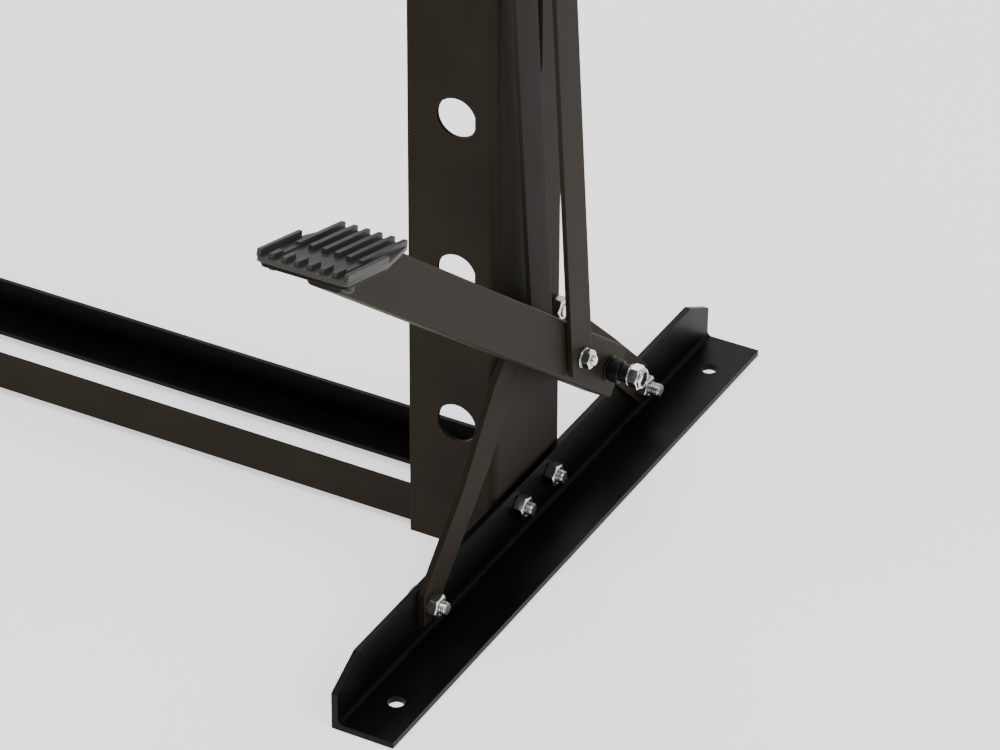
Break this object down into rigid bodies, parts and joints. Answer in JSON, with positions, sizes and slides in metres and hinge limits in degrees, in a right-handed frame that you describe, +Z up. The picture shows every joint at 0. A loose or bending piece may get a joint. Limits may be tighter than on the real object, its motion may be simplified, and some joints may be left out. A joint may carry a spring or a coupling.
{
  "type": "work support stand",
  "caption": "Steel work-support stand with bolted angle feet, toothed vee cradles and a foot pedal that closes a sprung clamp arm through two long links.",
  "frame": {"origin": "on the floor, in the middle of the four anchor holes", "axes": "+X along the rails towards the pedal end, +Y from front to rear along the feet, +Z up"},
  "size_m": [0.9543, 0.5109, 0.82],
  "materials": {
    "brown_coat": "satin powder coat, dark brown-grey",
    "black_coat": "satin black paint",
    "zinc": "bright zinc plate",
    "rubber_black": "moulded rubber",
    "plastic_black": "moulded plastic",
    "nylon_blue": "nylon ring",
    "bronze": "sintered bush",
    "spring_steel": "zinc-plated spring wire"
  },
  "bodies": {
    "frame": {"arm_nut_insert": "nylon_blue", "arm_pivot_boss": "plastic_black", "arm_pivot_nut": "zinc", "arm_pivot_stud": "zinc", "arm_pivot_washer": "zinc", "beam_bolts_far": "zinc", "beam_bolts_near": "zinc", "beam_nuts_far": "zinc", "beam_nuts_near": "zinc", "brace_bolts_far": "zinc", "brace_bolts_near": "zinc", "brace_far_front": "brown_coat", "brace_far_rear": "brown_coat", "brace_near_front": "brown_coat", "brace_near_rear": "brown_coat", "brace_nuts_far": "zinc", "brace_nuts_near": "zinc", "clamp_bracket": "brown_coat", "cradle_bolts_far": "zinc", "cradle_bolts_near": "zinc", "cradle_far": "brown_coat", "cradle_near": "brown_coat", "cradle_nuts_far": "zinc", "cradle_nuts_near": "zinc", "foot_bolts_far": "zinc", "foot_bolts_near": "zinc", "foot_far": "black_coat", "foot_near": "black_coat", "foot_nuts_far": "zinc", "foot_nuts_near": "zinc", "lever_nut_insert": "nylon_blue", "lever_pivot_boss": "plastic_black", "lever_pivot_nut": "zinc", "lever_pivot_stud": "zinc", "lever_pivot_washer": "zinc", "post_far": "brown_coat", "post_near": "brown_coat", "rail_front": "brown_coat", "rail_rear": "black_coat", "return_spring": "spring_steel", "spring_bolt_low": "zinc", "spring_nut_low": "zinc", "top_beam": "brown_coat"},
    "pedal": {"pedal_lever": "brown_coat", "lever_bush": "bronze", "pedal_plate": "brown_coat", "pedal_pad": "rubber_black"},
    "links": {"link_inner": "brown_coat", "link_outer": "brown_coat", "link_bolt_low": "zinc", "link_nut_low": "zinc", "link_bolt_top": "zinc", "link_nut_top": "zinc"},
    "clamp_arm": {"clamp_arm": "brown_coat", "arm_bush": "bronze", "clamp_jaw": "brown_coat", "jaw_bolts": "zinc", "arm_end_caps": "plastic_black", "spring_bolt_top": "zinc", "spring_nut_top": "zinc"}
  },
  "joints": [
    {"name": "pedal_hinge", "type": "hinge", "parent": "frame", "child": "pedal", "pos_m": [0.452, 0.038, 0.0963], "axis": [1, 0, 0], "range_deg": [0, 30], "stiffness_Nm_per_rad": 6, "springref_deg": -28.65},
    {"name": "link_hinge", "type": "hinge", "parent": "pedal", "child": "links", "pos_m": [0.452, -0.0026, 0.12848], "axis": [1, 0, 0], "range_deg": [-31.5, 0]},
    {"name": "clamp_hinge", "type": "hinge", "parent": "frame", "child": "clamp_arm", "pos_m": [0.452, 0.08, 0.8], "axis": [1, 0, 0], "range_deg": [0, 9.2], "deforming": ["return_spring"]}
  ],
  "couplings": [
    {"joint": "link_hinge", "follows": "pedal_hinge", "ratio": -1.0376},
    {"joint": "clamp_hinge", "follows": "pedal_hinge", "ratio": 0.2933}
  ]
}
